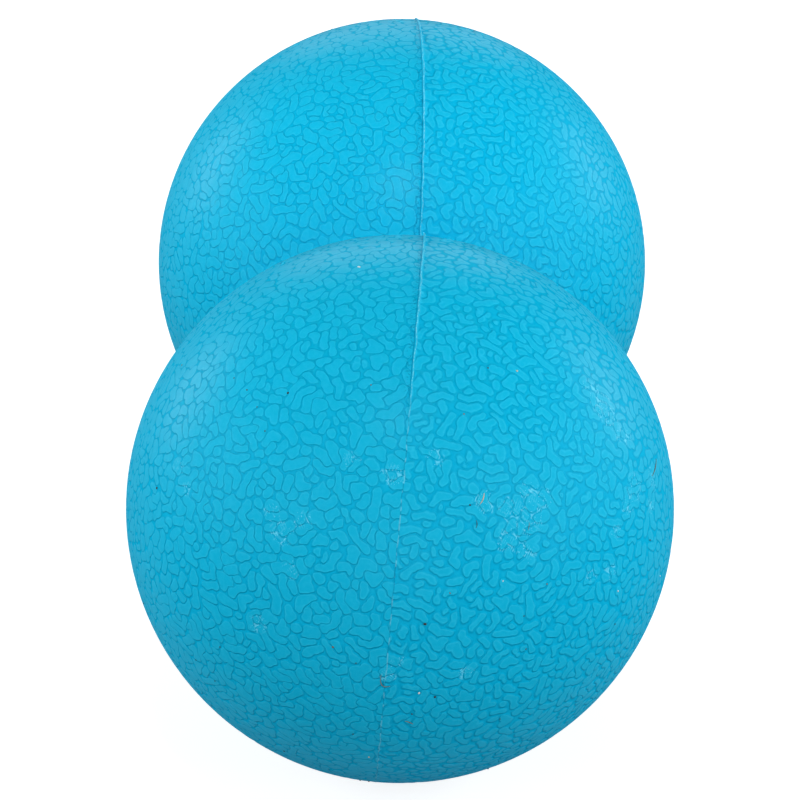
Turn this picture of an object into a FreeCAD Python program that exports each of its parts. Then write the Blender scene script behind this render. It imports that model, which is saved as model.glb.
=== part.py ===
import FreeCAD, Part
import math
import os

# Peanut massage ball: two equal round lobes joined by a narrow neck, moulded in one piece of
# solid rubber. A thin line of flash, left where the two mould halves met, stands proud of the
# skin and runs round the ball from pole to pole, over the top and back underneath.
#
# Frame: millimetres, +Z up, +Y along the ball's length, origin in the middle of the neck.

# Driving sizes of the ball
LENGTH = 125.0  # from the pole of one lobe to the pole of the other, without the flash
LOBE_DIAMETER = 63.0
NECK_DIAMETER = 27.0  # at the narrowest place, half way along

# Driving sizes of the flash line
FLASH_WIDTH = 0.3
FLASH_HEIGHT = 0.3  # how far it stands above the skin on the crown of a lobe
FLASH_NECK_HEIGHT = 0.4  # the same, across the neck
FLASH_LEAN = 0.24  # how much more than on the crown it is trimmed off at a pole
FLASH_ROLL = 4.5  # degrees about the length: the top of the line leans towards +X
FLASH_SWING = 2.2  # degrees about the vertical: each lobe's line crosses its lobe this much askew

# Sizes that follow from them
LOBE_RADIUS = LOBE_DIAMETER / 2
NECK_RADIUS = NECK_DIAMETER / 2
POLE = LENGTH / 2  # from the middle of the neck to a pole
LOBE_CENTRE = POLE - LOBE_RADIUS  # from the middle of the neck to the centre of a lobe

MIDDLE = FreeCAD.Vector(0, 0, 0)
ALONG = FreeCAD.Vector(0, 1, 0)
UP = FreeCAD.Vector(0, 0, 1)


def at(along, out):
    """A point of the ball's section: its place along the length and its distance from the axis.

    The section is drawn in the level plane, so that the seam of the turned surface lies at the
    side of the ball and stays clear of the flash.
    """
    return FreeCAD.Vector(out, along, 0)


def turned_body(centre, lobe, neck):
    """Two lobes and a neck as one turned solid.

    centre is how far each lobe's centre lies from the middle, lobe is the lobes' radius and
    neck is the radius of the narrowest place between them.
    """
    # The neck's hollow is an arc that runs smoothly into both lobes. Its centre lies in the
    # plane of the neck, as far from a lobe's centre as the two radii together.
    hollow = (centre**2 + neck**2 - lobe**2) / (2 * (lobe - neck))
    hollow_centre = neck + hollow

    # Where a lobe's arc meets the hollow: on the line between their two centres
    slope = math.atan2(hollow_centre, centre)
    meet_along = centre - lobe * math.cos(slope)
    meet_out = lobe * math.sin(slope)

    # A point half way round a lobe's arc, between the pole and the hollow
    half_way = (math.pi - slope) / 2
    bow_along = centre + lobe * math.cos(half_way)
    bow_out = lobe * math.sin(half_way)

    pole = centre + lobe
    near_lobe = Part.Arc(at(-pole, 0), at(-bow_along, bow_out), at(-meet_along, meet_out))
    waist = Part.Arc(at(-meet_along, meet_out), at(0, neck), at(meet_along, meet_out))
    far_lobe = Part.Arc(at(meet_along, meet_out), at(bow_along, bow_out), at(pole, 0))
    axis = Part.LineSegment(at(pole, 0), at(-pole, 0))

    edges = [curve.toShape() for curve in (near_lobe, waist, far_lobe, axis)]
    section = Part.Face(Part.Wire(edges))
    return section.revolve(MIDDLE, ALONG, 360)


def parting_blade():
    """A thin upright blade along the parting line, bent at the neck, that reaches past the skin.

    Each half of it passes through the centre of its own lobe, swung about the vertical there,
    and the two halves meet in the plane of the neck. The whole blade is then rolled.
    """
    reach = POLE + LOBE_RADIUS
    swing = math.tan(math.radians(FLASH_SWING))
    at_neck = swing * LOBE_CENTRE
    at_end = swing * (LOBE_CENTRE - reach)
    half = FLASH_WIDTH / 2 / math.cos(math.radians(FLASH_SWING))

    plan = [
        (at_end - half, -reach),
        (at_neck - half, 0),
        (at_end - half, reach),
        (at_end + half, reach),
        (at_neck + half, 0),
        (at_end + half, -reach),
    ]
    bottom = -LOBE_DIAMETER
    corners = [FreeCAD.Vector(x, y, bottom) for x, y in plan]
    outline = Part.makePolygon(corners + corners[:1])
    blade = Part.Face(outline).extrude(UP * 2 * LOBE_DIAMETER)
    blade.rotate(MIDDLE, ALONG, FLASH_ROLL)
    return blade


def flash():
    """The blade, trimmed to stand proud of the skin: most at the neck and least at the poles.

    What trims it is a body like the ball's own, a little larger, whose lobes sit a little
    nearer to the neck.
    """
    trimmer = turned_body(
        LOBE_CENTRE - FLASH_LEAN,
        LOBE_RADIUS + FLASH_HEIGHT,
        NECK_RADIUS + FLASH_NECK_HEIGHT,
    )
    return parting_blade().common(trimmer)


def peanut_ball():
    """The ball as it leaves the mould: one solid, with its flash."""
    skin = turned_body(LOBE_CENTRE, LOBE_RADIUS, NECK_RADIUS)
    return skin.fuse(flash()).removeSplitter()


os.makedirs("parts", exist_ok=True)
ball = peanut_ball()
ball.exportStep("parts/peanut_ball.step")
print("solids", len(ball.Solids), "valid", ball.isValid(), "volume", round(ball.Volume, 1))
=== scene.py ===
"""Peanut massage ball in a plain white studio.

The ball is one closed skin: two round lobes and a neck, covered in a moulded leather-like grain,
with the thin flash of the mould's parting line standing on it. Specks of dust and a few fibres
cling to it. All lengths are in metres, on the frame's own axes: +Y along the ball, +Z up.
"""

import logging
import math
import random
from dataclasses import dataclass
from enum import Enum

import bmesh
import bpy
from mathutils import Euler, Matrix, Vector, noise
from mathutils.kdtree import KDTree


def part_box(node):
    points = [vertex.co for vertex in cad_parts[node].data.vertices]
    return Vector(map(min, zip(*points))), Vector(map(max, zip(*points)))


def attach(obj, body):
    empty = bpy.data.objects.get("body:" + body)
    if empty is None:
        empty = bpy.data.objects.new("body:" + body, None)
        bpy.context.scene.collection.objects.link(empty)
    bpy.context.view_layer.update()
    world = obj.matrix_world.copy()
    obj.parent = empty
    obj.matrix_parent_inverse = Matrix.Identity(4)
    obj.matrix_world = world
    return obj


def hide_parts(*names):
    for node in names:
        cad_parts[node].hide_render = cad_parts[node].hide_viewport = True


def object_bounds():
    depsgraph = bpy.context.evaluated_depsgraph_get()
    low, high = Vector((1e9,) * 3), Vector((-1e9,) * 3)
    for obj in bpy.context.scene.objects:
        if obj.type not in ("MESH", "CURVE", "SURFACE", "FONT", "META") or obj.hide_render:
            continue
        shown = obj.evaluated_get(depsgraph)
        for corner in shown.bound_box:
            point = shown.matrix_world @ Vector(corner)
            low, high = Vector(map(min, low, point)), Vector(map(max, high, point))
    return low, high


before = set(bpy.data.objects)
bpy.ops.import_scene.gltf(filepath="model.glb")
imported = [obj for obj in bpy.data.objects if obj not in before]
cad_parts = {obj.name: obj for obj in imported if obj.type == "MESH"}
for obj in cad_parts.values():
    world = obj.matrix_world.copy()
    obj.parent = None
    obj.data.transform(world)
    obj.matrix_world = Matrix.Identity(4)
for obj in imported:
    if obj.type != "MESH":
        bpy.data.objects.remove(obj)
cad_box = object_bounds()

MM = 0.001
NODE = "peanut_ball"
BODY = "root"
PLACE = "skin_place"  # where each point of the skin lies before the grain sinks it
OFFSET = "seam_offset"  # how far each point lies to the right of the parting line
WHOLE = "flash_whole"  # how much of the flash is left there, from 0 to 1
GLINT_PATCH = "glint_patch"  # how strongly painted glints cover the skin there, from 0 to 1
ISLANDS = 4  # how many islands each face of the skin knows: the nearest ones
KNOTS = 3  # how many knots the spine of an island has
WHITE = (1.0, 1.0, 1.0, 1.0)

log = logging.getLogger("peanut_ball")


def smoothstep(low: float, high: float, value: float) -> float:
    """Rises smoothly from 0 at low to 1 at high."""
    share = min(max((value - low) / (high - low), 0.0), 1.0)
    return share * share * (3 - 2 * share)


# Node trees


@dataclass(frozen=True)
class Value:
    """A number, colour or vector that changes over a surface: a node's output socket."""

    nodes: "Nodes"
    socket: bpy.types.NodeSocket

    def __add__(self, other: "Value | float") -> "Value":
        """The sum."""
        return self.nodes.math("ADD", self, other)

    __radd__ = __add__

    def __sub__(self, other: "Value | float") -> "Value":
        """The difference."""
        return self.nodes.math("SUBTRACT", self, other)

    def __rsub__(self, other: "Value | float") -> "Value":
        """The difference, taken from a plain number."""
        return self.nodes.math("SUBTRACT", other, self)

    def __mul__(self, other: "Value | float") -> "Value":
        """The product."""
        return self.nodes.math("MULTIPLY", self, other)

    __rmul__ = __mul__

    def __truediv__(self, other: "Value | float") -> "Value":
        """The quotient."""
        return self.nodes.math("DIVIDE", self, other)

    def __rtruediv__(self, other: "Value | float") -> "Value":
        """The quotient, of a plain number."""
        return self.nodes.math("DIVIDE", other, self)

    def __abs__(self) -> "Value":
        """The value without its sign."""
        return self.nodes.math("ABSOLUTE", self)

    def least(self, other: "Value | float") -> "Value":
        """The smaller of the two."""
        return self.nodes.math("MINIMUM", self, other)

    def most(self, other: "Value | float") -> "Value":
        """The larger of the two."""
        return self.nodes.math("MAXIMUM", self, other)

    def rise(self, low: "Value | float", high: "Value | float") -> "Value":
        """Rises smoothly from 0 at low to 1 at high.

        Args:
            low: where it starts to rise.
            high: where it has risen.

        Returns:
            The risen value.
        """
        sockets = {"Value": self, "From Min": low, "From Max": high}
        settings = {"interpolation_type": "SMOOTHSTEP"}
        return self.nodes.make("ShaderNodeMapRange", settings, sockets)


class Nodes:
    """Adds nodes to a tree, for a material or for the surroundings."""

    def __init__(self, tree: bpy.types.NodeTree) -> None:
        """Takes over a tree."""
        self.tree = tree

    def make(
        self,
        kind: str,
        settings: dict | None = None,
        sockets: dict | None = None,
        output: "str | int" = 0,
    ) -> Value:
        """Adds one node.

        Args:
            kind: the node's type.
            settings: its properties, set before its sockets.
            sockets: values or links of its input sockets, by name or number.
            output: the output that is wanted.

        Returns:
            That output.
        """
        node = self.tree.nodes.new(kind)
        for name, setting in (settings or {}).items():
            setattr(node, name, setting)
        for name, given in (sockets or {}).items():
            self.feed(node.inputs[name], given)
        return Value(self, node.outputs[output]) if len(node.outputs) else Value(self, None)

    def feed(self, socket: bpy.types.NodeSocket, given: object) -> None:
        """Links a value to a socket, or sets a plain one on it.

        Args:
            socket: the input socket.
            given: a value, or a plain number, colour or vector.
        """
        if isinstance(given, Value):
            self.tree.links.new(given.socket, socket)
        else:
            socket.default_value = given

    def math(self, operation: str, *terms: "Value | float") -> Value:
        """One step of arithmetic on numbers."""
        return self.make("ShaderNodeMath", {"operation": operation}, dict(enumerate(terms)))

    def vector(self, operation: str, *terms: object, output: str = "Vector") -> Value:
        """One step of arithmetic on vectors."""
        settings = {"operation": operation}
        return self.make("ShaderNodeVectorMath", settings, dict(enumerate(terms)), output)

    def dot(self, first: Value, second: object) -> Value:
        """The dot product of two vectors."""
        return self.vector("DOT_PRODUCT", first, second, output="Value")

    def distance(self, first: Value, second: Value) -> Value:
        """The distance between two places."""
        return self.vector("DISTANCE", first, second, output="Value")

    def attribute(self, name: str, output: str = "Vector") -> Value:
        """A value stored on the mesh."""
        return self.make("ShaderNodeAttribute", {"attribute_name": name}, output=output)

    def scaled(self, vector: Value, factor: "Value | float") -> Value:
        """A vector made longer or shorter."""
        sockets = {"Vector": vector, "Scale": factor}
        return self.make("ShaderNodeVectorMath", {"operation": "SCALE"}, sockets)

    def blend(self, share: Value, first: object, second: object) -> Value:
        """A colour between two, by share.

        Args:
            share: 0 gives the first colour and 1 the second.
            first: a colour, or a value that holds one.
            second: likewise.

        Returns:
            The blended colour.
        """
        settings = {"data_type": "RGBA"}
        return self.make("ShaderNodeMix", settings, {0: share, 6: first, 7: second}, output=2)

    def noise(self, place: Value, pitch: float, detail: float = 0.0) -> Value:
        """Cloudy noise from 0 to 1, about one cloud to each pitch."""
        sockets = {"Vector": place, "Scale": 1 / pitch, "Detail": detail}
        return self.make("ShaderNodeTexNoise", None, sockets, output="Fac")

    def bump(self, height: Value) -> Value:
        """The direction of a surface that stands out by a height in metres."""
        return self.make("ShaderNodeBump", None, {"Height": height, "Distance": 1.0})


class Surface:
    """A new material, its nodes and its shader."""

    def __init__(self, name: str) -> None:
        """Makes the material.

        Args:
            name: the material's name.
        """
        self.material = bpy.data.materials.new(name)
        self.material.use_nodes = True
        self.nodes = Nodes(self.material.node_tree)
        self.shader = self.material.node_tree.nodes["Principled BSDF"]

    def finish(self, sockets: dict[str, "Value | float"]) -> bpy.types.Material:
        """Feeds the shader's sockets and returns the material.

        Args:
            sockets: a value or a plain number for each socket, by name.

        Returns:
            The material.
        """
        for name, given in sockets.items():
            self.nodes.feed(self.shader.inputs[name], given)
        return self.material


def placed(name: str, data: bpy.types.ID) -> bpy.types.Object:
    """A new object of the scene, with a mesh, a camera or a lamp as its data.

    Args:
        name: the object's name.
        data: its mesh, camera or lamp.

    Returns:
        The object.
    """
    made = bpy.data.objects.new(name, data)
    bpy.context.scene.collection.objects.link(made)
    return made


Colour = tuple[float, float, float, float]
Pixel = tuple[float, float]
Strip = tuple[float, float, float, float]  # from left to right: it starts, is full, fades, ends


def colour(red: float, green: float, blue: float) -> Colour:
    """A colour as it shows on a screen, from 0 to 255, as the linear one that a node takes.

    Args:
        red: its red.
        green: its green.
        blue: its blue.

    Returns:
        The linear colour, opaque.
    """

    def linear(level: float) -> float:
        """One channel."""
        share = level / 255
        return share / 12.92 if share <= 0.04045 else ((share + 0.055) / 1.055) ** 2.4

    return linear(red), linear(green), linear(blue), 1.0


# Sizes


@dataclass(frozen=True)
class FlashSizes:
    """The flash: the thin ridge that the mould's parting line leaves."""

    width: float = 0.3 * MM
    height: float = 0.3 * MM  # on the crown of a lobe
    neck_height: float = 0.4 * MM
    lean: float = 0.24 * MM  # how much lower it is at a pole
    roll: float = math.radians(4.5)
    swing: float = math.radians(2.2)
    shoulder: float = 0.09 * MM  # how far in from its foot the shoulder is
    shoulder_share: float = 0.35  # of the full height
    worn_from: float = math.radians(46)  # from a pole: up to here only crumbs of it are left
    worn_to: float = math.radians(58)  # and from here on it is whole
    worn_below: float = math.radians(26)  # how much further it is worn on the underside
    crumb: float = 0.03 * MM  # height of those crumbs
    crumb_pitch: float = 1.1 * MM
    wobble: float = 0.2 * MM  # how far it strays sideways
    uneven: float = 0.3  # how much its height varies, as a share of it

    @property
    def pole_height(self) -> float:
        """How far the flash stands above a pole."""
        return self.height - self.lean


@dataclass(frozen=True)
class BallSizes:
    """The ball's own sizes."""

    flash: FlashSizes
    lobe_radius: float
    lobe_centre: float  # from the middle of the neck
    neck_radius: float = 13.5 * MM

    @classmethod
    def from_frame(cls, flash: FlashSizes) -> "BallSizes":
        """Reads the lobes' size and place from the CAD solid's box.

        Args:
            flash: the flash, which stands above the box's poles.

        Returns:
            The ball's sizes.
        """
        low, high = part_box(NODE)
        radius = (high.x - low.x) / 2
        pole = (high.y - low.y) / 2 - flash.pole_height
        return cls(flash=flash, lobe_radius=radius, lobe_centre=pole - radius)

    @property
    def hollow_radius(self) -> float:
        """Radius of the neck's hollow, which runs smoothly into both lobes."""
        squares = self.lobe_centre**2 + self.neck_radius**2 - self.lobe_radius**2
        return squares / (2 * (self.lobe_radius - self.neck_radius))

    @property
    def hollow_centre(self) -> float:
        """How far from the axis the centre of the hollow lies."""
        return self.neck_radius + self.hollow_radius

    @property
    def hollow_slope(self) -> float:
        """Angle at a lobe's centre between the axis and where the hollow starts."""
        return math.atan2(self.hollow_centre, self.lobe_centre)

    @property
    def hollow_start(self) -> float:
        """How far from the middle of the neck the hollow starts."""
        return self.lobe_centre - self.lobe_radius * math.cos(self.hollow_slope)

    @property
    def seam_normal(self) -> Vector:
        """The level direction square to the near lobe's parting line, before the roll."""
        swing = self.flash.swing
        return Vector((math.cos(swing), -math.sin(swing), 0))

    @property
    def roll(self) -> Matrix:
        """The turn that leans the parting line over."""
        return Matrix.Rotation(self.flash.roll, 3, "Y")

    def offset(self, place: Vector) -> float:
        """How far a place lies to the right of its lobe's parting line, before the roll."""
        near = Vector((place.x, self.lobe_centre - abs(place.y), place.z))
        return near.dot(self.seam_normal)

    def across(self, along: float) -> float:
        """The radius of the ball at a distance from the middle of the neck.

        Args:
            along: the distance along the axis.

        Returns:
            The radius there.
        """
        if abs(along) < self.hollow_start:
            return self.hollow_centre - math.sqrt(self.hollow_radius**2 - along**2)
        return math.sqrt(max(self.lobe_radius**2 - (abs(along) - self.lobe_centre) ** 2, 0.0))

    def at_random(self, chance: random.Random) -> Vector:
        """A random place on the skin, before the roll.

        Args:
            chance: draws the place.

        Returns:
            The place.
        """
        pole = self.lobe_centre + self.lobe_radius
        along, turn = chance.uniform(-pole, pole), chance.uniform(0, math.tau)
        out = self.across(along)
        return Vector((out * math.cos(turn), along, out * math.sin(turn)))

    def middle(self, end: float) -> Vector:
        """The centre of a lobe: of the near one for -1 and of the far one for 1."""
        return Vector((0, end * self.lobe_centre, 0))

    def outward(self, place: Vector) -> Vector:
        """The direction straight out of the skin at a place on it.

        Args:
            place: the place.

        Returns:
            The direction, as long as 1.
        """
        if abs(place.y) >= self.hollow_start:
            return (place - self.middle(math.copysign(1, place.y))).normalized()
        across = Vector((place.x, 0, place.z)).normalized()
        return (across * self.hollow_centre - place).normalized()


# The grain


@dataclass(frozen=True)
class GrainSide:
    """How the grain is laid out on one side of the parting line."""

    seed: int
    spacing: float  # least distance between two knots
    reach: float  # how far an island grows from its spine
    foot: float  # an island's share at the foot of its edge, which sets how wide the valleys are
    head: float  # and at the top of its edge
    link: float = 1.7 * MM  # most distance between two knots of one island
    lengths: tuple[float, float, float] = (0.1, 0.32, 0.58)  # shares of islands by their knots
    draw_in: float = 0.12  # how far an island's knots are drawn to its middle
    clear: float = 0.85  # how strong the faintest painted shade outlines are, next to the strongest
    softness: float = 0.3 * MM  # the larger, the rounder the islands' corners
    swell: float = 0.22  # how much the valleys' width changes from place to place

    @property
    def falloff(self) -> float:
        """How fast the pull of an island fades with the distance from its spine."""
        return -1 / self.softness

    @property
    def margin(self) -> float:
        """The pull that an island has to beat where no other is near."""
        return math.exp(self.reach * self.falloff)


@dataclass(frozen=True)
class Grain:
    """The moulded grain: flat islands with round corners, and valleys between them.

    An island is what lies nearer to its own spine than to any other, less a margin. The spine
    is a line through three knots.
    """

    left: GrainSide = GrainSide(
        11,
        spacing=0.85 * MM,
        reach=1.01 * MM,
        foot=0.42,
        head=0.65,
        clear=0.7,
        softness=0.25 * MM,
        swell=0.24,
    )
    right: GrainSide = GrainSide(12, spacing=0.81 * MM, reach=0.82 * MM, foot=0.38, head=0.63)
    depth: float = 0.1 * MM
    ripple: float = 0.64 * MM  # how far an outline wanders
    ripple_pitch: float = 1.1 * MM

    def chosen(self, offset: Value, name: str) -> Value:
        """A size of the side that a point is on.

        Args:
            offset: how far the point lies to the right of the parting line.
            name: the size's name in GrainSide.

        Returns:
            The size there.
        """
        left, right = getattr(self.left, name), getattr(self.right, name)
        return offset.nodes.math("GREATER_THAN", offset, 0.0) * (right - left) + left

    def share(self, nodes: Nodes, place: Value, offset: Value) -> Value:
        """How much more a point belongs to its own island than to its neighbours.

        Args:
            nodes: the material's nodes.
            place: a point on the skin.
            offset: how far that lies to the right of the parting line.

        Returns:
            Near 1 on an island's spine, and 0.5 or less half way to the next.
        """
        cloud = nodes.make(
            "ShaderNodeTexNoise",
            None,
            {"Vector": place, "Scale": 1 / self.ripple_pitch, "Detail": 1.5},
            output="Color",
        )
        bend = nodes.vector("SUBTRACT", cloud, (0.5, 0.5, 0.5))
        place = nodes.vector("ADD", place, nodes.scaled(bend, self.ripple))
        falloff = self.chosen(offset, "falloff")
        pulls = [self._pull(nodes, place, island, falloff) for island in range(ISLANDS)]
        strongest = pulls[0]
        total = self.chosen(offset, "margin")
        for pull in pulls[1:]:
            strongest = strongest.most(pull)
        for pull in pulls:
            total = total + pull
        return strongest / total

    def _pull(self, nodes: Nodes, place: Value, island: int, falloff: Value) -> Value:
        """How strongly a place belongs to one of the islands that its face knows.

        Args:
            nodes: the material's nodes.
            place: a point on the skin.
            island: which of the islands that the face knows.
            falloff: how fast the pull fades.

        Returns:
            1 on the spine, and less away from it.
        """
        knots = [nodes.attribute(knot_name(island, knot)) for knot in range(KNOTS)]
        first = self._from_line(nodes, place, knots[0], knots[1])
        second = self._from_line(nodes, place, knots[1], knots[2])
        return nodes.math("EXPONENT", first.least(second) * falloff)

    def _from_line(self, nodes: Nodes, place: Value, start: Value, end: Value) -> Value:
        """The distance from a place to the straight line between two knots.

        Args:
            nodes: the material's nodes.
            place: the place.
            start: one end of the line.
            end: its other end.

        Returns:
            The distance.
        """
        line = nodes.vector("SUBTRACT", end, start)
        way = nodes.vector("SUBTRACT", place, start)
        length_squared = nodes.dot(line, line) + 1e-12
        settings = {"operation": "DIVIDE", "use_clamp": True}
        share = nodes.make("ShaderNodeMath", settings, {0: nodes.dot(way, line), 1: length_squared})
        return nodes.distance(way, nodes.scaled(line, share))

    def level(self, place: Vector, islands: "list[Island]", side: GrainSide) -> float:
        """The grain's height, worked out for a vertex of the mesh.

        Args:
            place: a point on the skin.
            islands: the islands round it.
            side: the side of the parting line that it is on.

        Returns:
            1 on an island, 0 in a valley, and between them on the edge.
        """
        pulls = [math.exp(island.distance(place) * side.falloff) for island in islands]
        total = sum(pulls) + side.margin
        return smoothstep(side.foot, side.head, max(pulls) / total)


def knot_name(island: int, knot: int) -> str:
    """Name of the attribute that holds one knot of one of a face's islands."""
    return f"island_{island}_knot_{knot}"


@dataclass(frozen=True)
class Island:
    """One island of the grain, known by the knots of its spine."""

    knots: tuple[Vector, Vector, Vector]

    def distance(self, place: Vector) -> float:
        """How far a place is from the spine.

        Args:
            place: the place.

        Returns:
            The distance.
        """
        return min(
            from_line(place, self.knots[0], self.knots[1]),
            from_line(place, self.knots[1], self.knots[2]),
        )


def from_line(place: Vector, start: Vector, end: Vector) -> float:
    """The distance from a place to the straight line between two points.

    Args:
        place: the place.
        start: one end of the line.
        end: its other end.

    Returns:
        The distance.
    """
    line = end - start
    way = place - start
    share = min(max(way.dot(line) / (line.length_squared + 1e-12), 0.0), 1.0)
    return (way - line * share).length


class IslandMap:
    """The islands of one side of the parting line, laid out over the skin at random."""

    tries = 170_000  # places tried for a knot, over the whole ball
    overlap = 1.5 * MM  # how far the islands go on past the parting line
    midway = 0.49  # no knot lies this near to the middle of a link, as a share of its length
    stub = 0.3 * MM  # the most that an island of one knot stretches to each side, on each axis
    bow = 0.35 * MM  # the most that an island of two knots bows, on each axis
    searched = 24  # places on spines that are looked at to find the nearest islands

    def __init__(self, side: GrainSide, sizes: BallSizes, sign: int) -> None:
        """Lays the islands out.

        Args:
            side: how the grain is laid out there.
            sizes: the ball's sizes.
            sign: -1 for the left of the parting line and 1 for the right.
        """
        self.side = side
        self.chance = random.Random(side.seed)
        knots = self._scatter(sizes, sign)
        self.islands = self._link(knots)
        self.tree = KDTree(len(self.islands) * 5)
        for index, island in enumerate(self.islands):
            first, middle, last = island.knots
            for place in (first, (first + middle) / 2, middle, (middle + last) / 2, last):
                self.tree.insert(place, index)
        self.tree.balance()

    def _scatter(self, sizes: BallSizes, sign: int) -> list[Vector]:
        """Scatters knots over the skin, evenly and never too near to each other.

        Args:
            sizes: the ball's sizes.
            sign: -1 for the left of the parting line and 1 for the right.

        Returns:
            The knots.
        """
        spacing = self.side.spacing
        boxes: dict[tuple[int, int, int], list[Vector]] = {}
        around = [(i, j, k) for i in (-1, 0, 1) for j in (-1, 0, 1) for k in (-1, 0, 1)]
        knots = []
        for _ in range(self.tries):
            place = sizes.at_random(self.chance)
            if sizes.offset(place) * sign < -self.overlap:
                continue
            place = sizes.roll @ place
            x, y, z = (math.floor(part / spacing) for part in place)
            near = (other for i, j, k in around for other in boxes.get((x + i, y + j, z + k), ()))
            if any((other - place).length < spacing for other in near):
                continue
            boxes.setdefault((x, y, z), []).append(place)
            knots.append(place)
        return knots

    def _link(self, knots: list[Vector]) -> list[Island]:
        """Links neighbouring knots into islands of one, two or three.

        Args:
            knots: the scattered knots.

        Returns:
            The islands.
        """
        tree = KDTree(len(knots))
        for index, place in enumerate(knots):
            tree.insert(place, index)
        tree.balance()
        free = set(range(len(knots)))
        islands = []
        for start in range(len(knots)):
            if start not in free:
                continue
            free.discard(start)
            chain = [start]
            wanted = self.chance.choices((1, 2, 3), self.side.lengths)[0]
            while len(chain) < wanted:
                here = knots[chain[-1]]
                open_ends = [
                    index
                    for place, index, away in tree.find_range(here, self.side.link)
                    if index in free
                    and tree.find((here + place) / 2)[2] > away * self.midway
                    and (place - knots[start]).length > self._least_length(len(chain))
                ]
                if not open_ends:
                    break
                chain.append(self.chance.choice(sorted(open_ends)))
                free.discard(chain[-1])
            middle = sum((knots[index] for index in chain), Vector()) / len(chain)
            drawn = [knots[index].lerp(middle, self.side.draw_in) for index in chain]
            islands.append(self._island(drawn))
        return islands

    def _least_length(self, links: int) -> float:
        """How far from its first knot an island has to end, so that it doesn't fold back."""
        return self.side.spacing * (links * 0.5 + 0.4)

    def _island(self, chain: list[Vector]) -> Island:
        """Makes an island from one to three linked knots.

        Args:
            chain: the knots, in order.

        Returns:
            The island.
        """
        if len(chain) == KNOTS:
            return Island(tuple(chain))
        first, last = chain[0], chain[-1]
        aside = Vector([self.chance.uniform(-1, 1) for _ in range(3)])
        if len(chain) == 1:
            return Island((first - aside * self.stub, first, first + aside * self.stub))
        middle = (first + last) / 2 + aside * self.bow
        return Island((first, middle, last))

    def around(self, place: Vector) -> list[Island]:
        """The islands nearest to a place, the nearest first."""
        found = dict.fromkeys(index for _, index, _ in self.tree.find_n(place, self.searched))
        return [self.islands[index] for index in list(found)[:ISLANDS]]


# Finishes


@dataclass(frozen=True)
class PartingLine:
    """The colours along the parting line, painted highlight and painted shade among them, in
    distances aside from it.
    """

    # the painted highlight along the ridge's crest
    crest: Colour = colour(140, 220, 234)
    # the painted shadow beside the ridge, also the colour of the flecks and of the worn line's dark
    # stretches
    shade: Colour = colour(0, 138, 182)
    wave_pitch: float = 0.9 * MM
    wander: float = 0.06 * MM  # how far it all strays sideways
    crest_reach: float = 0.06 * MM
    dot_pitch: float = 0.28 * MM  # of the dots that the painted highlight on the crest breaks up into
    thread: tuple[float, float] = (0.03 * MM, 0.1 * MM)  # the faint line of painted shade and painted highlight where it is worn
    fleck_pitch: float = 0.22 * MM
    shade_at: Strip = (-0.3 * MM, -0.2 * MM, -0.14 * MM, -0.08 * MM)
    flecks_at: Strip = (-1.1 * MM, -0.6 * MM, -0.3 * MM, -0.15 * MM)

    def tone(self, nodes: Nodes, tone: Value, place: Value, aside: Value, whole: Value) -> Value:
        """Adds the parting line: a painted highlight along the crest, a painted shadow beside it,
        and a faint line of painted shade and highlight where worn.

        Args:
            nodes: the material's nodes.
            tone: the skin's colour without it.
            place: a point on the skin.
            aside: how far that lies to the right of the parting line.
            whole: how much of the flash is left there.

        Returns:
            The skin's colour with it.
        """
        wave = nodes.noise(place, self.wave_pitch, detail=1.0)
        aside = aside + (wave - 0.5) * self.wander
        worn = 1 - whole
        # where the painted shadow lies, left of the ridge
        shade = self._inside(aside, self.shade_at)
        # the painted highlight along the crest
        crest = 1 - abs(aside).rise(0.0, self.crest_reach)
        dots = nodes.noise(place, self.dot_pitch).rise(0.42, 0.6)
        thread = 1 - abs(aside).rise(*self.thread)
        gaps = wave.rise(0.42, 0.55)
        fleck = nodes.noise(place, self.fleck_pitch).rise(0.56, 0.66)
        fleck = fleck * self._inside(aside, self.flecks_at)
        # a painted shadow left of the ridge, darker flecks, and the worn line's painted shade
        tone = nodes.blend(shade * whole * 0.7, tone, self.shade)
        tone = nodes.blend(fleck * whole * 0.6, tone, self.shade)
        tone = nodes.blend(thread * gaps * worn * 0.6, tone, self.shade)
        # painted highlight in the worn line's gaps, and along the standing crest
        tone = nodes.blend(thread * (1 - gaps) * worn * 0.3, tone, self.crest)
        return nodes.blend(crest * whole * (dots * 0.55 + 0.2), tone, self.crest)

    def _inside(self, aside: Value, strip: Strip) -> Value:
        """1 inside a strip along the line, and 0 outside it."""
        return aside.rise(*strip[:2]) * (1 - aside.rise(*strip[2:]))


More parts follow.
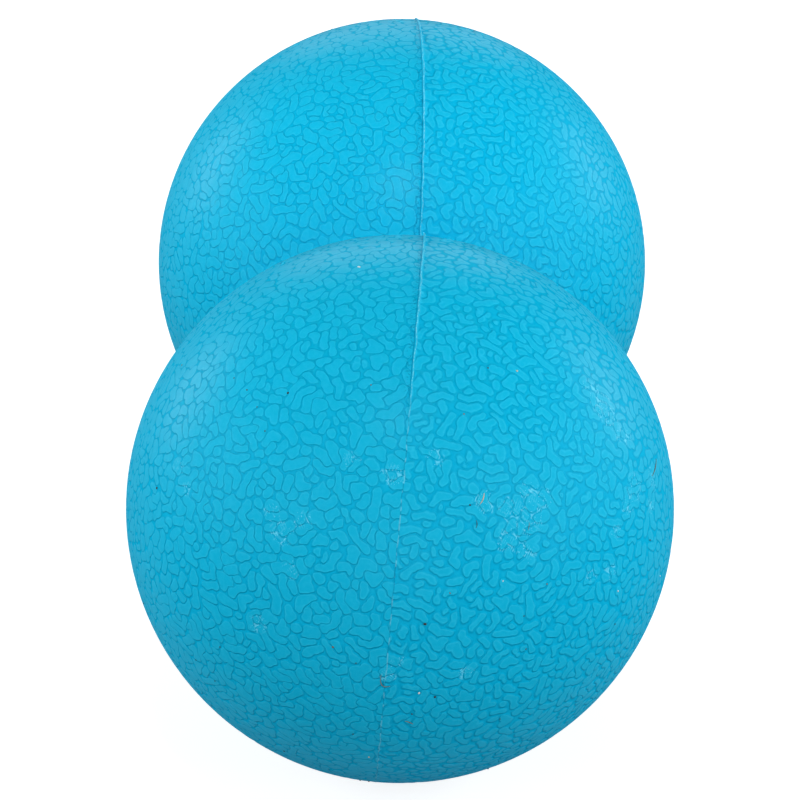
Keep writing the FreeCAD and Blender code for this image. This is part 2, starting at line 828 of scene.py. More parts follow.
@dataclass(frozen=True)
class ScratchGlints:
    """Painted glints on fine scratch lines, painted highlights along valley floors and painted
    sparkles, in the glint patches.
    """

    # the colour of the painted glints
    tone: Colour = colour(100, 211, 240)
    pitch: float = 0.26 * MM
    group_pitch: float = 0.6 * MM
    ragged_pitch: float = 0.9 * MM  # of the ragged edge of a patch of painted glints
    lit_pitch: float = 0.7 * MM  # of the stretches of valley floor that carry a painted highlight
    sparkle_pitch: float = 0.16 * MM

    def painted_glints(self, nodes: Nodes, place: Value, valley: Value, bottom: Value) -> Value:
        """Where the painted glints are.

        Args:
            nodes: the material's nodes.
            place: a point on the skin.
            valley: 1 in a valley of the grain.
            bottom: 1 at the very bottom of a valley.

        Returns:
            Near 1 on a painted glint and 0 elsewhere.
        """
        glint_patch = nodes.attribute(GLINT_PATCH, output="Fac")
        ragged = nodes.noise(place, self.ragged_pitch, detail=2.0) * 0.9
        rising = self._hatching(nodes, place, (0.64, -0.38, 0.67), 0.0)
        falling = self._hatching(nodes, place, (0.72, 0.3, -0.62), 5.0 * MM)
        # a painted highlight along stretches of valley floor, and painted sparkles
        lit = bottom * (nodes.noise(place, self.lit_pitch).rise(0.46, 0.6) * 0.6 + 0.15)
        sparkle = nodes.noise(place, self.sparkle_pitch).rise(0.72, 0.78) * 0.8
        painted_glints = (rising.most(falling) * (valley * 0.7 + 0.2)).most(lit).most(sparkle)
        return painted_glints * glint_patch.rise(ragged, ragged + 0.3)

    def _hatching(self, nodes: Nodes, place: Value, way: tuple, shift: float) -> Value:
        """Small groups of parallel scratch lines, painted as glints.

        Args:
            nodes: the material's nodes.
            place: a point on the skin.
            way: the direction across the scratches.
            shift: moves the groups, so that those of two directions differ.

        Returns:
            1 on a scratch and 0 elsewhere.
        """
        moved = nodes.vector("ADD", place, (shift, 0.0, 0.0))
        group = nodes.noise(moved, self.group_pitch).rise(0.56, 0.62)
        turns = nodes.dot(place, way) * (math.tau / self.pitch)
        return nodes.math("SINE", turns).rise(0.0, 0.8) * group


@dataclass(frozen=True)
class GrainedRubber:
    """Sky-blue moulded rubber with the grain."""

    grain: Grain
    flash: FlashSizes
    line: PartingLine = PartingLine()
    scratch_glints: ScratchGlints = ScratchGlints()
    island: Colour = colour(13, 176, 216)
    # pale: the painted highlight rim along the islands' edges, and the mottle that is the rubber's
    # own tone
    rim_highlight_and_mottle: Colour = colour(44, 191, 227)
    valley: Colour = colour(7, 173, 215)
    # painted shade along the islands' edges
    painted_wall_shade: Colour = colour(0, 169, 213)
    island_roughness: float = 0.7
    valley_roughness: float = 0.55
    shine: float = 0.07  # of the whole skin
    edge_shine: float = 0.3  # of the islands, where the skin is seen edge on
    shine_roughness: float = 0.35
    mottle_pitch: float = 0.45 * MM
    mottle_depth: float = 0.006 * MM
    fading_pitch: float = 3.0 * MM  # of where the painted shade outlines fade and the valleys narrow
    highlight_rim_reach: float = 0.1  # how far to each side the painted highlight rim reaches, as a share

    def material(self) -> bpy.types.Material:
        """Builds the material.

        Returns:
            The material.
        """
        surface = Surface("grained_rubber_skin")
        nodes = surface.nodes
        place = nodes.attribute(PLACE)
        offset = nodes.attribute(OFFSET, output="Fac")
        whole = nodes.attribute(WHOLE, output="Fac")
        fading = nodes.noise(place, self.fading_pitch)
        share = self.grain.share(nodes, place, offset)
        share = share - (fading - 0.5) * self.grain.chosen(offset, "swell")
        foot, head = self.grain.chosen(offset, "foot"), self.grain.chosen(offset, "head")
        flash = 1 - abs(offset).rise(self.flash.width * 0.4, self.flash.width * 0.6)
        flash = flash * whole
        relief = share.rise(foot, head).most(flash)
        # a painted highlight rim just inside each island's edge
        rim = (1 - abs(share - head - self.highlight_rim_reach / 2) * (1 / self.highlight_rim_reach)).most(0.0)
        # painted shade along each island's edge, from the valley's foot up its side
        painted_wall_shade = share.rise(foot - 0.16, foot) * (1 - share.rise(head - 0.1, head + 0.02))
        clear = self.grain.chosen(offset, "clear")
        # how strong the painted shade outlines are, fainter in places
        strong = fading.rise(0.38, 0.6) * (1 - clear) + clear
        mottle = nodes.noise(place, self.mottle_pitch, detail=2.0).rise(0.35, 0.7)

        tone = nodes.blend(relief, self.valley, self.island)
        # the painted shade along the islands' edges goes on, but not on the flash
        tone = nodes.blend(painted_wall_shade * strong * (1 - flash), tone, self.painted_wall_shade)
        # the painted highlight rim, and the mottle of the rubber's own tone
        tone = nodes.blend(rim * 0.4 + mottle * (relief * 0.14 + 0.08), tone, self.rim_highlight_and_mottle)
        tone = self.line.tone(nodes, tone, place, offset, whole)
        bottom = 1 - share.rise(foot - 0.1, foot + 0.04)
        painted_glints = self.scratch_glints.painted_glints(nodes, place, 1 - relief, bottom)
        facing = nodes.make("ShaderNodeLayerWeight", None, {"Blend": 0.5}, output="Facing")
        glancing = facing.rise(0.3, 0.7) * self.edge_shine
        spread = self.island_roughness - self.valley_roughness
        return surface.finish(
            {
                "Base Color": nodes.blend(painted_glints, tone, self.scratch_glints.tone),
                "Roughness": relief * spread + self.valley_roughness,
                "Specular IOR Level": 0.0,  # the shine is the coat's alone
                "Coat Weight": relief * glancing + self.shine,
                "Coat Roughness": self.shine_roughness,
                "Normal": nodes.bump(relief * self.grain.depth + mottle * self.mottle_depth),
            }
        )


# The skin


@dataclass
class Skin:
    """The ball's skin, with its grain and flash: one closed mesh."""

    sizes: BallSizes
    grain: Grain
    subdivisions: int = 7
    hollow_rings: int = 8
    merge: float = 0.12 * MM
    glint_core: float = 0.2  # how far a patch of painted glints is at its full strength, in radii
    glint_edge: float = 1.8  # and where it ends
    sink: float = 0.055 * MM  # how deep the valleys are in the mesh
    margin: float = 0.006 * MM  # how far the whole skin lies inside the solid's

    def build(self, glint_patches: "list[tuple[Vector, float]]") -> bpy.types.Object:
        """Builds the skin.

        Args:
            glint_patches: the middle and the radius of each patch of painted glints.

        Returns:
            The skin.
        """
        half = bmesh.new()
        self._add_lobe(half)
        self._add_half_neck(half)
        self._score(half)
        self._mirror(half)
        mesh = bpy.data.meshes.new("skin")
        half.to_mesh(mesh)
        half.free()
        skin = placed("skin", mesh)
        self._mark_glint_patches(skin, glint_patches)
        self._shape(skin, self._lay_grain(skin))
        return skin

    def _add_lobe(self, half: bmesh.types.BMesh) -> None:
        """The near lobe, cut open where the hollow of the neck starts.

        Args:
            half: the mesh of the near half.
        """
        centre = self.sizes.middle(-1)
        bmesh.ops.create_icosphere(
            half,
            subdivisions=self.subdivisions,
            radius=self.sizes.lobe_radius,
            matrix=Matrix.Translation(centre),
        )
        self._cut(half, Vector((0, -self.sizes.hollow_start, 0)), Vector((0, 1, 0)), clear=True)
        rim = [v for v in half.verts if v.is_boundary]
        bmesh.ops.remove_doubles(half, verts=rim, dist=self.merge)
        for vertex in half.verts:
            vertex.co = centre + (vertex.co - centre).normalized() * self.sizes.lobe_radius

    def _cut(
        self, half: bmesh.types.BMesh, place: Vector, way: Vector, clear: bool = False
    ) -> None:
        """Cuts the mesh along a plane, and clears what lies beyond it if that is wanted.

        Args:
            half: the mesh of the near half.
            place: a point of the plane.
            way: the direction that the plane faces.
            clear: whether what lies beyond the plane goes.
        """
        bmesh.ops.bisect_plane(
            half,
            geom=half.verts[:] + half.edges[:] + half.faces[:],
            dist=1e-7,
            plane_co=place,
            plane_no=way,
            clear_outer=clear,
        )

    def _add_half_neck(self, half: bmesh.types.BMesh) -> None:
        """The hollow from the near lobe to the middle of the neck, ring by ring.

        Args:
            half: the mesh of the near half.
        """
        sizes = self.sizes
        rim = [edge for edge in half.edges if edge.is_boundary]
        whole = math.pi / 2 - sizes.hollow_slope
        for ring in range(1, self.hollow_rings + 1):
            made = bmesh.ops.extrude_edge_only(half, edges=rim)["geom"]
            rim = [item for item in made if isinstance(item, bmesh.types.BMEdge)]
            turn = whole * (1 - ring / self.hollow_rings)
            out = sizes.hollow_centre - sizes.hollow_radius * math.cos(turn)
            along = -sizes.hollow_radius * math.sin(turn)
            for vertex in {v for edge in rim for v in edge.verts}:
                across = Vector((vertex.co.x, 0, vertex.co.z)).normalized() * out
                vertex.co = Vector((across.x, along, across.z))
        bmesh.ops.recalc_face_normals(half, faces=half.faces[:])

    def _score(self, half: bmesh.types.BMesh) -> None:
        """Cuts the mesh along the foot, the shoulders and the crest of the flash.

        Args:
            half: the mesh of the near half.
        """
        flash = self.sizes.flash
        foot = flash.width / 2
        shoulder = foot - flash.shoulder
        for offset in (-foot, -shoulder, 0.0, shoulder, foot):
            way = self.sizes.seam_normal
            self._cut(half, self.sizes.middle(-1) + way * offset, way)
        bmesh.ops.triangulate(half, faces=half.faces[:])

    def _mirror(self, half: bmesh.types.BMesh) -> None:
        """Adds the far half, notes where every point lies, and rolls the whole.

        Args:
            half: the mesh of the near half, which becomes the whole.
        """
        twin = bmesh.ops.duplicate(half, geom=half.verts[:] + half.edges[:] + half.faces[:])
        faces = [item for item in twin["geom"] if isinstance(item, bmesh.types.BMFace)]
        for item in twin["geom"]:
            if isinstance(item, bmesh.types.BMVert):
                item.co.y = -item.co.y
        bmesh.ops.reverse_faces(half, faces=faces)
        middle = [v for v in half.verts if abs(v.co.y) < 1e-6]
        bmesh.ops.remove_doubles(half, verts=middle, dist=1e-6)
        offset_layer = half.verts.layers.float.new(OFFSET)
        place_layer = half.verts.layers.float_vector.new(PLACE)
        for vertex in half.verts:
            vertex[offset_layer] = self.sizes.offset(vertex.co)
            vertex.co = self.sizes.roll @ vertex.co
            vertex[place_layer] = vertex.co

    def _lay_grain(self, skin: bpy.types.Object) -> list[list[Island]]:
        """Lays out the grain, and stores on each face the islands nearest to it.

        Args:
            skin: the skin, still smooth.

        Returns:
            For each vertex, the islands round it.
        """
        mesh = skin.data
        places = [vertex.co.copy() for vertex in mesh.vertices]
        offsets = [item.value for item in mesh.attributes[OFFSET].data]
        faces = [tuple(polygon.vertices) for polygon in mesh.polygons]
        asides = [sum(offsets[index] for index in face) / 3 for face in faces]
        maps = []
        for side, sign in ((self.grain.left, -1), (self.grain.right, 1)):
            maps.append(IslandMap(side, self.sizes, sign))
            log.info("grain: %d islands", len(maps[-1].islands))
        rows: list[list[float]] = [[] for _ in range(ISLANDS * KNOTS)]
        near_vertices: list[list[Island]] = [[] for _ in places]
        for face, aside in zip(faces, asides):
            centre = (places[face[0]] + places[face[1]] + places[face[2]]) / 3
            islands = maps[aside > 0].around(centre)
            for row, knot in zip(rows, (knot for island in islands for knot in island.knots)):
                row.extend(knot)
            for index in face:
                near_vertices[index] = islands
        for index, row in enumerate(rows):
            layer = mesh.attributes.new(knot_name(*divmod(index, KNOTS)), "FLOAT_VECTOR", "FACE")
            layer.data.foreach_set("vector", row)
        return near_vertices

    def _mark_glint_patches(self, skin: bpy.types.Object, glint_patches: "list[tuple[Vector, float]]") -> None:
        """Notes how strongly painted glints cover each vertex.

        Args:
            skin: the skin.
            glint_patches: the middle and the radius of each patch of painted glints.
        """
        vertices = skin.data.vertices
        tree = KDTree(len(vertices))
        for vertex in vertices:
            tree.insert(vertex.co, vertex.index)
        tree.balance()
        strength = [0.0] * len(vertices)
        for middle, radius in glint_patches:
            core, edge = radius * self.glint_core, radius * self.glint_edge
            for _, index, away in tree.find_range(middle, edge):
                here = 1 - smoothstep(core, edge, away)
                strength[index] = max(strength[index], here)
        layer = skin.data.attributes.new(GLINT_PATCH, "FLOAT", "POINT")
        layer.data.foreach_set("value", strength)

    def _flash_left(self, place: Vector) -> float:
        """How much of the flash is left at a place: 0 where it is worn, and 1 where it is whole.

        Args:
            place: a point on the skin.

        Returns:
            The share that is left.
        """
        sizes, flash = self.sizes, self.sizes.flash
        pole_share = (abs(place.y) - sizes.lobe_centre) / sizes.lobe_radius
        if abs(place.y) < sizes.hollow_start:
            return 1.0
        from_pole = math.acos(min(max(pole_share, -1.0), 1.0))
        worn = flash.worn_below if place.z < 0 else 0.0
        return smoothstep(flash.worn_from + worn, flash.worn_to + worn, from_pole)

    def _flash_height(self, place: Vector) -> float:
        """How far the flash stands above the skin at a place.

        Args:
            place: a point on the skin.

        Returns:
            The height.
        """
        sizes, flash = self.sizes, self.sizes.flash
        cloud = noise.noise(place / flash.crumb_pitch)
        uneven = min(1 - flash.uneven / 2 + flash.uneven * cloud, 1.0)
        if abs(place.y) < sizes.hollow_start:
            return flash.neck_height * uneven
        pole_share = (abs(place.y) - sizes.lobe_centre) / sizes.lobe_radius
        whole = (flash.height - flash.lean * pole_share) * uneven
        crumbs = flash.crumb * smoothstep(-0.1, 0.3, cloud)
        return crumbs + (whole - crumbs) * self._flash_left(place)

    def _shape(self, skin: bpy.types.Object, near_vertices: list[list[Island]]) -> None:
        """Sinks the valleys of the grain and raises the flash.

        Args:
            skin: the skin, still smooth.
            near_vertices: the islands round each vertex.
        """
        flash = self.sizes.flash
        foot = flash.width / 2
        mesh = skin.data
        offsets = mesh.attributes[OFFSET].data
        aside_way = self.sizes.roll @ self.sizes.seam_normal
        left = []
        for vertex in mesh.vertices:
            place = vertex.co.copy()
            offset = offsets[vertex.index].value
            aside = abs(offset)
            left.append(self._flash_left(place))
            if aside < foot - 1e-6:
                share = min((foot - aside) / flash.shoulder, 1.0) * flash.shoulder_share
                crest = (1 - aside / foot) * (1 - flash.shoulder_share)
                step = self._flash_height(place) * (share + crest)
                stray = noise.noise(place / flash.crumb_pitch + Vector((7, 3, 5)))
                place += aside_way * (stray * flash.wobble * (1 - aside / foot))
            else:
                side = self.grain.right if offset > 0 else self.grain.left
                level = self.grain.level(place, near_vertices[vertex.index], side)
                step = -self.sink * (1 - level)
            vertex.co = place + self.sizes.outward(place) * (step - self.margin)
        layer = mesh.attributes.new(WHOLE, "FLOAT", "POINT")
        layer.data.foreach_set("value", left)
        mesh.shade_smooth()

    def dress(self, skin: bpy.types.Object, material: bpy.types.Material) -> None:
        """Gives the skin its finish and its place in the frame.

        Args:
            skin: the skin.
            material: its finish.
        """
        skin.data.materials.clear()
        skin.data.materials.append(material)
        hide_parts(NODE)
        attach(skin, BODY)
        log.info("skin: %d triangles", sum(len(p.vertices) - 2 for p in skin.data.polygons))


# Dust


class DustKind(Enum):
    """What clings to the skin, as the colour that it shows: dark and light; the pale kind also
    holds painted glints.
    """

    SOOT = (colour(22, 30, 34), colour(70, 72, 70))
    EARTH = (colour(86, 84, 62), colour(134, 122, 92))
    # pale dust, and white specks that are painted glints
    CHALK = (colour(186, 196, 186), colour(236, 240, 236))
    AMBER = (colour(196, 168, 118), colour(232, 208, 160))

    @property
    def piece(self) -> str:
        """The name of the piece, and of its material."""
        return f"{self.name.lower()}_dust"


@dataclass(frozen=True)
class DustFinish:
    """The finish of one kind of dust."""

    kind: DustKind
    pitch: float = 0.08 * MM
    depth: float = 0.01 * MM
    roughness: float = 0.65
    spread: float = 0.2  # how much rougher it is in places

    def material(self) -> bpy.types.Material:
        """Builds the material.

        Returns:
            The material.
        """
        surface = Surface(self.kind.piece)
        nodes = surface.nodes
        cloud = nodes.noise(nodes.make("ShaderNodeTexCoord", output="Object"), self.pitch, 2.0)
        dark, light = self.kind.value
        return surface.finish(
            {
                "Base Color": nodes.blend(cloud.rise(0.3, 0.7), dark, light),
                "Roughness": cloud * self.spread + self.roughness,
                "Specular IOR Level": 0.2,
                "Normal": nodes.bump(cloud * self.depth),
            }
        )


@dataclass(frozen=True)
class Speck:
    """A speck of dust, placed by its pixel on the photograph's 800 by 800 frame. Some white ones
    are painted glints.
    """

    kind: DustKind
    pixel: Pixel
    width: float = 0.2 * MM


@dataclass(frozen=True)
class Fibre:
    """A short fibre, placed by the pixels that it passes through."""

    kind: DustKind
    pixels: tuple[Pixel, Pixel, Pixel]
    thickness: float = 0.08 * MM


@dataclass(frozen=True)
class GlintPatch:
    """A patch of painted glints on the skin, placed by its pixel."""

    pixel: Pixel
    radius: float


SPECKS = (
    Speck(DustKind.SOOT, (288, 393), 0.26 * MM),
    Speck(DustKind.SOOT, (247, 390)),
    Speck(DustKind.SOOT, (157, 488), 0.28 * MM),
    Speck(DustKind.EARTH, (371, 385), 0.17 * MM),
    Speck(DustKind.SOOT, (234, 378), 0.16 * MM),
    Speck(DustKind.SOOT, (265, 431), 0.17 * MM),
    Speck(DustKind.SOOT, (257, 407), 0.15 * MM),
    Speck(DustKind.SOOT, (488, 368), 0.17 * MM),
    Speck(DustKind.SOOT, (470, 505), 0.2 * MM),
    Speck(DustKind.SOOT, (425, 624), 0.32 * MM),
    Speck(DustKind.SOOT, (412, 714), 0.2 * MM),
    Speck(DustKind.SOOT, (435, 697), 0.26 * MM),
    Speck(DustKind.SOOT, (284, 751), 0.2 * MM),
    Speck(DustKind.SOOT, (196, 660), 0.18 * MM),
    Speck(DustKind.SOOT, (215, 681), 0.17 * MM),
    Speck(DustKind.SOOT, (220, 647), 0.15 * MM),
    Speck(DustKind.SOOT, (353, 734), 0.18 * MM),
    Speck(DustKind.SOOT, (356, 663), 0.16 * MM),
    Speck(DustKind.SOOT, (500, 719), 0.17 * MM),
    Speck(DustKind.SOOT, (526, 649), 0.16 * MM),
    Speck(DustKind.SOOT, (524, 616), 0.16 * MM),
    Speck(DustKind.SOOT, (650, 540), 0.18 * MM),
    Speck(DustKind.SOOT, (615, 624), 0.17 * MM),
    Speck(DustKind.EARTH, (182, 365), 0.18 * MM),
    Speck(DustKind.EARTH, (464, 414), 0.18 * MM),
    Speck(DustKind.EARTH, (450, 593), 0.16 * MM),
    Speck(DustKind.EARTH, (547, 584), 0.16 * MM),
    Speck(DustKind.EARTH, (333, 647), 0.22 * MM),
    Speck(DustKind.AMBER, (517, 371), 0.22 * MM),
    Speck(DustKind.CHALK, (618, 591), 0.2 * MM),
    Speck(DustKind.CHALK, (660, 576), 0.18 * MM),
    Speck(DustKind.AMBER, (369, 757), 0.2 * MM),
    Speck(DustKind.CHALK, (503, 581), 0.15 * MM),
    Speck(DustKind.CHALK, (359, 267), 0.3 * MM),
    # a painted glint: a white speck
    Speck(DustKind.CHALK, (419, 693), 0.25 * MM),
)

FIBRES = (
    Fibre(DustKind.AMBER, ((480, 504), (483, 499), (484, 493)), 0.1 * MM),
    Fibre(DustKind.SOOT, ((476, 520), (477, 524), (476, 528)), 0.09 * MM),
    Fibre(DustKind.EARTH, ((529, 522), (529, 526), (528, 530)), 0.06 * MM),
    Fibre(DustKind.EARTH, ((656, 459), (655, 468), (652, 476)), 0.09 * MM),
    Fibre(DustKind.EARTH, ((381, 675), (382, 685), (390, 686)), 0.1 * MM),
    Fibre(DustKind.EARTH, ((405, 721), (409, 722), (413, 724)), 0.09 * MM),
)

GLINT_PATCHES = (
    GlintPatch((593, 390), 1.7 * MM),
    GlintPatch((605, 408), 2.0 * MM),
    GlintPatch((614, 427), 1.6 * MM),
    GlintPatch((627, 437), 1.3 * MM),
    GlintPatch((512, 510), 1.6 * MM),
    GlintPatch((530, 494), 1.5 * MM),
    GlintPatch((531, 519), 1.9 * MM),
    GlintPatch((544, 498), 1.3 * MM),
    GlintPatch((485, 502), 1.4 * MM),
    GlintPatch((509, 540), 1.5 * MM),
    GlintPatch((527, 552), 1.2 * MM),
    GlintPatch((653, 478), 1.6 * MM),
    GlintPatch((635, 486), 1.8 * MM),
    GlintPatch((628, 506), 1.2 * MM),
    GlintPatch((652, 505), 1.2 * MM),
    GlintPatch((611, 572), 1.2 * MM),
    GlintPatch((592, 576), 1.0 * MM),
    GlintPatch((616, 531), 1.1 * MM),
    GlintPatch((387, 675), 1.0 * MM),
    GlintPatch((398, 661), 0.9 * MM),
    GlintPatch((394, 475), 1.4 * MM),
    GlintPatch((437, 457), 1.2 * MM),
    GlintPatch((272, 513), 1.2 * MM),
    GlintPatch((281, 534), 1.5 * MM),
    GlintPatch((303, 520), 1.2 * MM),
    GlintPatch((178, 466), 1.2 * MM),
    GlintPatch((186, 488), 1.0 * MM),
    GlintPatch((258, 624), 1.2 * MM),
    GlintPatch((290, 570), 1.2 * MM),
    GlintPatch((350, 460), 1.1 * MM),
    GlintPatch((466, 672), 1.0 * MM),
)


@dataclass
class Dust:
    """The specks and fibres that cling to the skin, and white specks that are painted glints, as
    one piece for each kind.
    """

    sizes: BallSizes
    viewpoint: "Viewpoint"
    hidden: int = 60  # how many more specks lie on the sides that the photograph doesn't show
    hidden_width: tuple[float, float] = (0.14, 0.24)  # least and most, in millimetres
    hidden_kinds: float = 2.4  # how many kinds they are shared over, the last only in part
    stretch: tuple[float, float] = (0.75, 1.35)  # least and most, of a speck
    flatness: float = 0.5
    unevenness: float = 0.3
    sides: int = 6  # of a fibre
    seed: int = 5

    def build(self) -> None:
        """Builds and dresses one piece for each kind of dust."""
        chance = random.Random(self.seed)
        hidden = [(self.viewpoint.unseen(chance), chance.random()) for _ in range(self.hidden)]
        for kind in DustKind:
            heap = bmesh.new()
            for speck in SPECKS:
                if speck.kind is kind:
                    self._add_speck(heap, self.viewpoint.on_skin(speck.pixel), speck.width, chance)
            for fibre in FIBRES:
                if fibre.kind is kind:
                    path = [self.viewpoint.on_skin(pixel) for pixel in fibre.pixels]
                    self._add_fibre(heap, path, fibre.thickness)
            for place, share in hidden:
                if list(DustKind)[int(share * self.hidden_kinds)] is kind:
                    width = chance.uniform(*self.hidden_width) * MM
                    self._add_speck(heap, place, width, chance)
            self._dress(heap, kind)

    def _add_speck(
        self, heap: bmesh.types.BMesh, place: Vector, width: float, chance: random.Random
    ) -> None:
        """Adds an uneven, flattish grain, pressed a little into the skin.

        Args:
            heap: the mesh that it is added to.
            place: where it lies.
            width: how wide it is.
            chance: draws its shape.
        """
        made = bmesh.ops.create_icosphere(heap, subdivisions=2, radius=width / 2)["verts"]
        out = self.sizes.outward(place)
        stretch = chance.uniform(*self.stretch)
        twist = Matrix.Rotation(chance.uniform(0, math.pi), 3, "Z")
        turn = out.to_track_quat("Z", "Y").to_matrix() @ twist
        shift = Vector([chance.uniform(-50, 50) for _ in range(3)])
        for vertex in made:
            uneven = 1 + self.unevenness * noise.noise(vertex.co / (width * 0.4) + shift)
            x, y, z = vertex.co * uneven
            flat = Vector((x * stretch, y / stretch, z * self.flatness))
            vertex.co = place + out * (width * 0.1) + turn @ flat

    def _add_fibre(self, heap: bmesh.types.BMesh, path: list[Vector], thickness: float) -> None:
        """Adds a thin bent tube with pointed ends that lies on the skin.

        Args:
            heap: the mesh that it is added to.
            path: three places on the skin.
            thickness: how thick it is.
        """
        line = self._smooth(path)
        rings = []
        for index, place in enumerate(line):
            out = self.sizes.outward(place)
            before, after = line[max(index - 1, 0)], line[min(index + 1, len(line) - 1)]
            aside = out.cross(after - before).normalized()
            share = index / (len(line) - 1)
            radius = thickness / 2 * (0.35 + 0.65 * math.sin(math.pi * min(max(share, 0.08), 0.92)))
            centre = place + out * (thickness * 0.35)
            ring = []
            for step in range(self.sides):
                angle = math.tau * step / self.sides
                spoke = out * math.sin(angle) + aside * math.cos(angle)
                ring.append(heap.verts.new(centre + spoke * radius))
            rings.append(ring)
        for first, second in zip(rings, rings[1:]):
            for step in range(self.sides):
                after = (step + 1) % self.sides
                heap.faces.new((first[step], first[after], second[after], second[step]))
        heap.faces.new(reversed(rings[0]))
        heap.faces.new(rings[-1])

    def _smooth(self, path: list[Vector], steps: int = 8) -> list[Vector]:
        """A smooth line through three places.

        Args:
            path: the three places.
            steps: how many steps the line has.

        Returns:
            The places along the line.
        """
        start, middle, end = path
        pull = middle * 2 - (start + end) / 2
        line = []
        for step in range(steps + 1):
            share = step / steps
            line.append(start * (1 - share) ** 2 + pull * 2 * share * (1 - share) + end * share**2)
        return line

    def _dress(self, heap: bmesh.types.BMesh, kind: DustKind) -> None:
        """Makes the piece of one kind and gives it its finish.

        Args:
            heap: the mesh of all that is of this kind.
            kind: the kind of dust.
        """
        bmesh.ops.recalc_face_normals(heap, faces=heap.faces[:])
        mesh = bpy.data.meshes.new(kind.piece)
        heap.to_mesh(mesh)
        heap.free()
        mesh.shade_smooth()
        mesh.materials.append(DustFinish(kind).material())
        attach(placed(kind.piece, mesh), BODY)
        log.info("%s: %d faces", kind.piece, len(mesh.polygons))


# The studio


@dataclass
class Viewpoint:
    """Where the photograph was taken from."""

    sizes: BallSizes
    azimuth: float = math.radians(0.23)
    dip: float = math.radians(29.25)  # how far below the horizon it looks
    back: float = 367.3 * MM  # level distance from the near lobe's centre
    height: float = 220.0 * MM  # above the ball's axis
    lens: float = 167.2  # in millimetres, on a sensor 36 mm wide
    sensor: float = 36.0
    frame_width: int = 800  # in pixels, as in the photograph
    unseen_glint_patches: int = 40
    unseen_radius: tuple[float, float] = (1.0, 1.8)  # least and most, in millimetres
    seed: int = 8

    @property
    def place(self) -> Vector:
        """Where the camera is."""
        away = Vector((math.sin(self.azimuth), -math.cos(self.azimuth), 0))
        return self.sizes.middle(-1) + away * self.back + Vector((0, 0, self.height))

    @property
    def turn(self) -> Euler:
        """How the camera is turned."""
        return Euler((math.pi / 2 - self.dip, 0, self.azimuth))

    def sight(self, pixel: Pixel) -> tuple[Vector, Vector]:
        """The line of sight through a pixel of the photograph.

        Args:
            pixel: its place on the 800 by 800 frame.

        Returns:
            Where the line starts and which way it runs.
        """
        half = self.frame_width / 2
        scale = self.sensor / self.frame_width
        way = Vector(((pixel[0] - half) * scale, (half - pixel[1]) * scale, -self.lens))
        way.rotate(self.turn)
        return self.place, way.normalized()

    def on_skin(self, pixel: Pixel) -> Vector:
        """The place on the skin that a pixel of the photograph shows.

        Args:
            pixel: its place on the 800 by 800 frame.

        Returns:
            The place on the skin.
        """
        start, way = self.sight(pixel)
        hits = []
        for end in (-1, 1):
            centre = self.sizes.middle(end)
            half = way.dot(start - centre)
            inside = half * half - (start - centre).length_squared + self.sizes.lobe_radius**2
            if inside > 0:
                hits.append(start + way * (-half - math.sqrt(inside)))
        return min(hits, key=lambda hit: (hit - start).length)

    def unseen(self, chance: random.Random) -> Vector:
        """A random place on a side of a lobe that the photograph doesn't show.

        Args:
            chance: draws the place.

        Returns:
            The place.
        """
        while True:
            way = Vector([chance.gauss(0, 1) for _ in range(3)]).normalized()
            place = self.sizes.middle(chance.choice((-1, 1))) + way * self.sizes.lobe_radius
            sight = (self.place - place).normalized()
            if abs(place.y) > self.sizes.hollow_start and way.dot(sight) < 0.1:
                return place

    def glint_patches(self) -> list[tuple[Vector, float]]:
        """The patches of painted glints: those that the photograph shows, and more on the other
        sides.

        Returns:
            The middle and the radius of each patch.
        """
        chance = random.Random(self.seed)
        patches = [(self.on_skin(glint_patch.pixel), glint_patch.radius) for glint_patch in GLINT_PATCHES]
        for _ in range(self.unseen_glint_patches):
            patches.append((self.unseen(chance), chance.uniform(*self.unseen_radius) * MM))
        return patches

    def build(self) -> None:
        """Makes the camera."""
        data = bpy.data.cameras.new("camera")
        data.lens = self.lens
        data.sensor_width = self.sensor
        data.clip_start = 0.01
        camera = placed("camera", data)
        camera.location = self.place
        camera.rotation_euler = self.turn
        bpy.context.scene.camera = camera
        log.info("camera: %.0f mm lens", self.lens)


@dataclass(frozen=True)
class Lamp:
    """A soft lamp, aimed at a place."""

    name: str
    place: tuple[float, float, float]
    size: float
    power: float
    aim: tuple[float, float, float] = (0.0, 0.0, 0.0)
    spread: float = math.pi
    tint: tuple[float, float, float] = (1.0, 0.99, 0.975)  # a little warmer than the room

    def build(self) -> None:
        """Makes the lamp."""
        data = bpy.data.lights.new(self.name, "AREA")
        data.shape = "DISK"
        data.size = self.size
        data.energy = self.power
        data.color = self.tint
        data.spread = self.spread
        lamp = placed(self.name, data)
        lamp.location = self.place
        way = Vector(self.aim) - Vector(self.place)
        lamp.rotation_mode = "QUATERNION"
        lamp.rotation_quaternion = way.to_track_quat("-Z", "Y")
        log.info("lamp: %s", self.name)


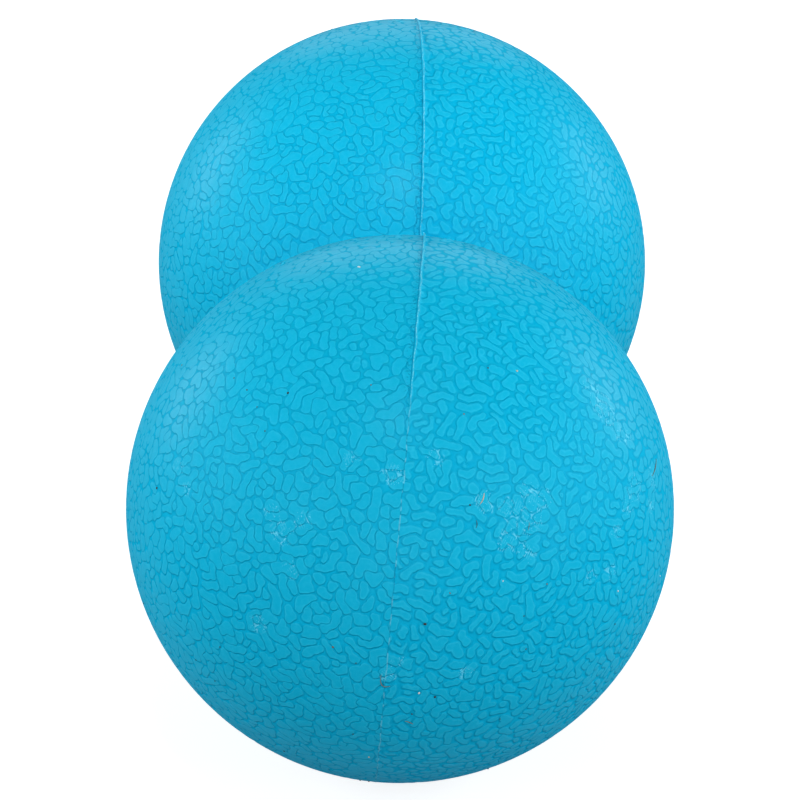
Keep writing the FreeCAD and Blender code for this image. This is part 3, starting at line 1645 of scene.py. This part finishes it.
@dataclass
class Studio:
    """The white floor, the white surroundings and the lamps."""

    floor_level: float
    floor_size: float = 1.8
    floor_colour: Colour = (0.33, 0.35, 0.38, 1.0)
    floor_glow: float = 1.52  # half of it is seen, on top of half the light that falls there
    surroundings: float = 0.2
    lamps: tuple[Lamp, ...] = (
        Lamp("left_lamp", (-0.966, 0.0, 0.259), 0.7, 3.5),
        Lamp("right_lamp", (0.966, 0.0, 0.259), 0.7, 3.05),
        Lamp("left_rim_lamp", (-0.83, 0.5, 0.25), 0.5, 2.95),
        Lamp("right_rim_lamp", (0.83, 0.5, 0.25), 0.5, 2.75),
        Lamp("front_left_lamp", (-0.612, -0.612, 0.5), 0.6, 1.6),
        Lamp("front_right_lamp", (0.663, -0.557, 0.5), 0.6, 2.5),
        Lamp("front_lamp", (0.0, -0.966, 0.259), 0.7, 2.2),
        Lamp("back_lamp", (0.0, 0.966, 0.259), 0.7, 1.55),
        Lamp("low_left_lamp", (-0.8, -0.4, 0.08), 0.2, 0.25),
        Lamp("low_right_lamp", (0.8, -0.4, 0.08), 0.2, 0.7),
        Lamp("far_lamp", (0.0, -0.24, 0.53), 0.12, 0.0225, (0.0, 0.028, 0.0), math.radians(20)),
    )

    def build(self) -> None:
        """Builds the whole studio."""
        self._floor()
        self._world()
        for lamp in self.lamps:
            lamp.build()

    def _seen(self, nodes: Nodes) -> Value:
        """1 where the camera looks at a thing itself, else 0."""
        return nodes.make("ShaderNodeLightPath", output="Is Camera Ray")

    def _floor(self) -> None:
        """The floor, which looks white but keeps the ball's soft shadow."""
        data = bpy.data.meshes.new("floor")
        half = self.floor_size / 2
        around = ((-half, -half), (half, -half), (half, half), (-half, half))
        data.from_pydata([(x, y, self.floor_level) for x, y in around], [], [(0, 1, 2, 3)])
        placed("floor", data)

        material = bpy.data.materials.new("white_floor")
        material.use_nodes = True
        tree = material.node_tree
        tree.nodes.clear()
        nodes = Nodes(tree)
        matt = nodes.make("ShaderNodeBsdfDiffuse", None, {"Color": self.floor_colour})
        white = nodes.make("ShaderNodeBsdfDiffuse", None, {"Color": WHITE})
        glow = nodes.make("ShaderNodeEmission", None, {"Strength": self.floor_glow})
        lit = nodes.make("ShaderNodeMixShader", None, {0: 0.5, 1: white, 2: glow})
        mixed = nodes.make("ShaderNodeMixShader", None, {0: self._seen(nodes), 1: matt, 2: lit})
        nodes.make("ShaderNodeOutputMaterial", None, {"Surface": mixed})
        data.materials.append(material)

    def _world(self) -> None:
        """White surroundings: full white to look at, and softer as a light."""
        world = bpy.data.worlds.new("white_room")
        bpy.context.scene.world = world
        world.use_nodes = True
        tree = world.node_tree
        tree.nodes.clear()
        nodes = Nodes(tree)
        light, white = (
            nodes.make("ShaderNodeBackground", None, {"Color": WHITE, "Strength": strength})
            for strength in (self.surroundings, 1.0)
        )
        mixed = nodes.make("ShaderNodeMixShader", None, {0: self._seen(nodes), 1: light, 2: white})
        nodes.make("ShaderNodeOutputWorld", None, {"Surface": mixed})


def main() -> None:
    """Builds the camera, the studio and the ball, and reports each piece."""
    logging.basicConfig(level=logging.INFO, format="%(message)s")
    bpy.context.scene.view_settings.view_transform = "Standard"
    sizes = BallSizes.from_frame(FlashSizes())
    grain = Grain()
    viewpoint = Viewpoint(sizes)
    viewpoint.build()
    skin = Skin(sizes, grain)
    piece = skin.build(viewpoint.glint_patches())
    skin.dress(piece, GrainedRubber(grain, sizes.flash).material())
    Dust(sizes, viewpoint).build()
    Studio(floor_level=cad_box[0].z).build()


if __name__ == "__main__":
    main()
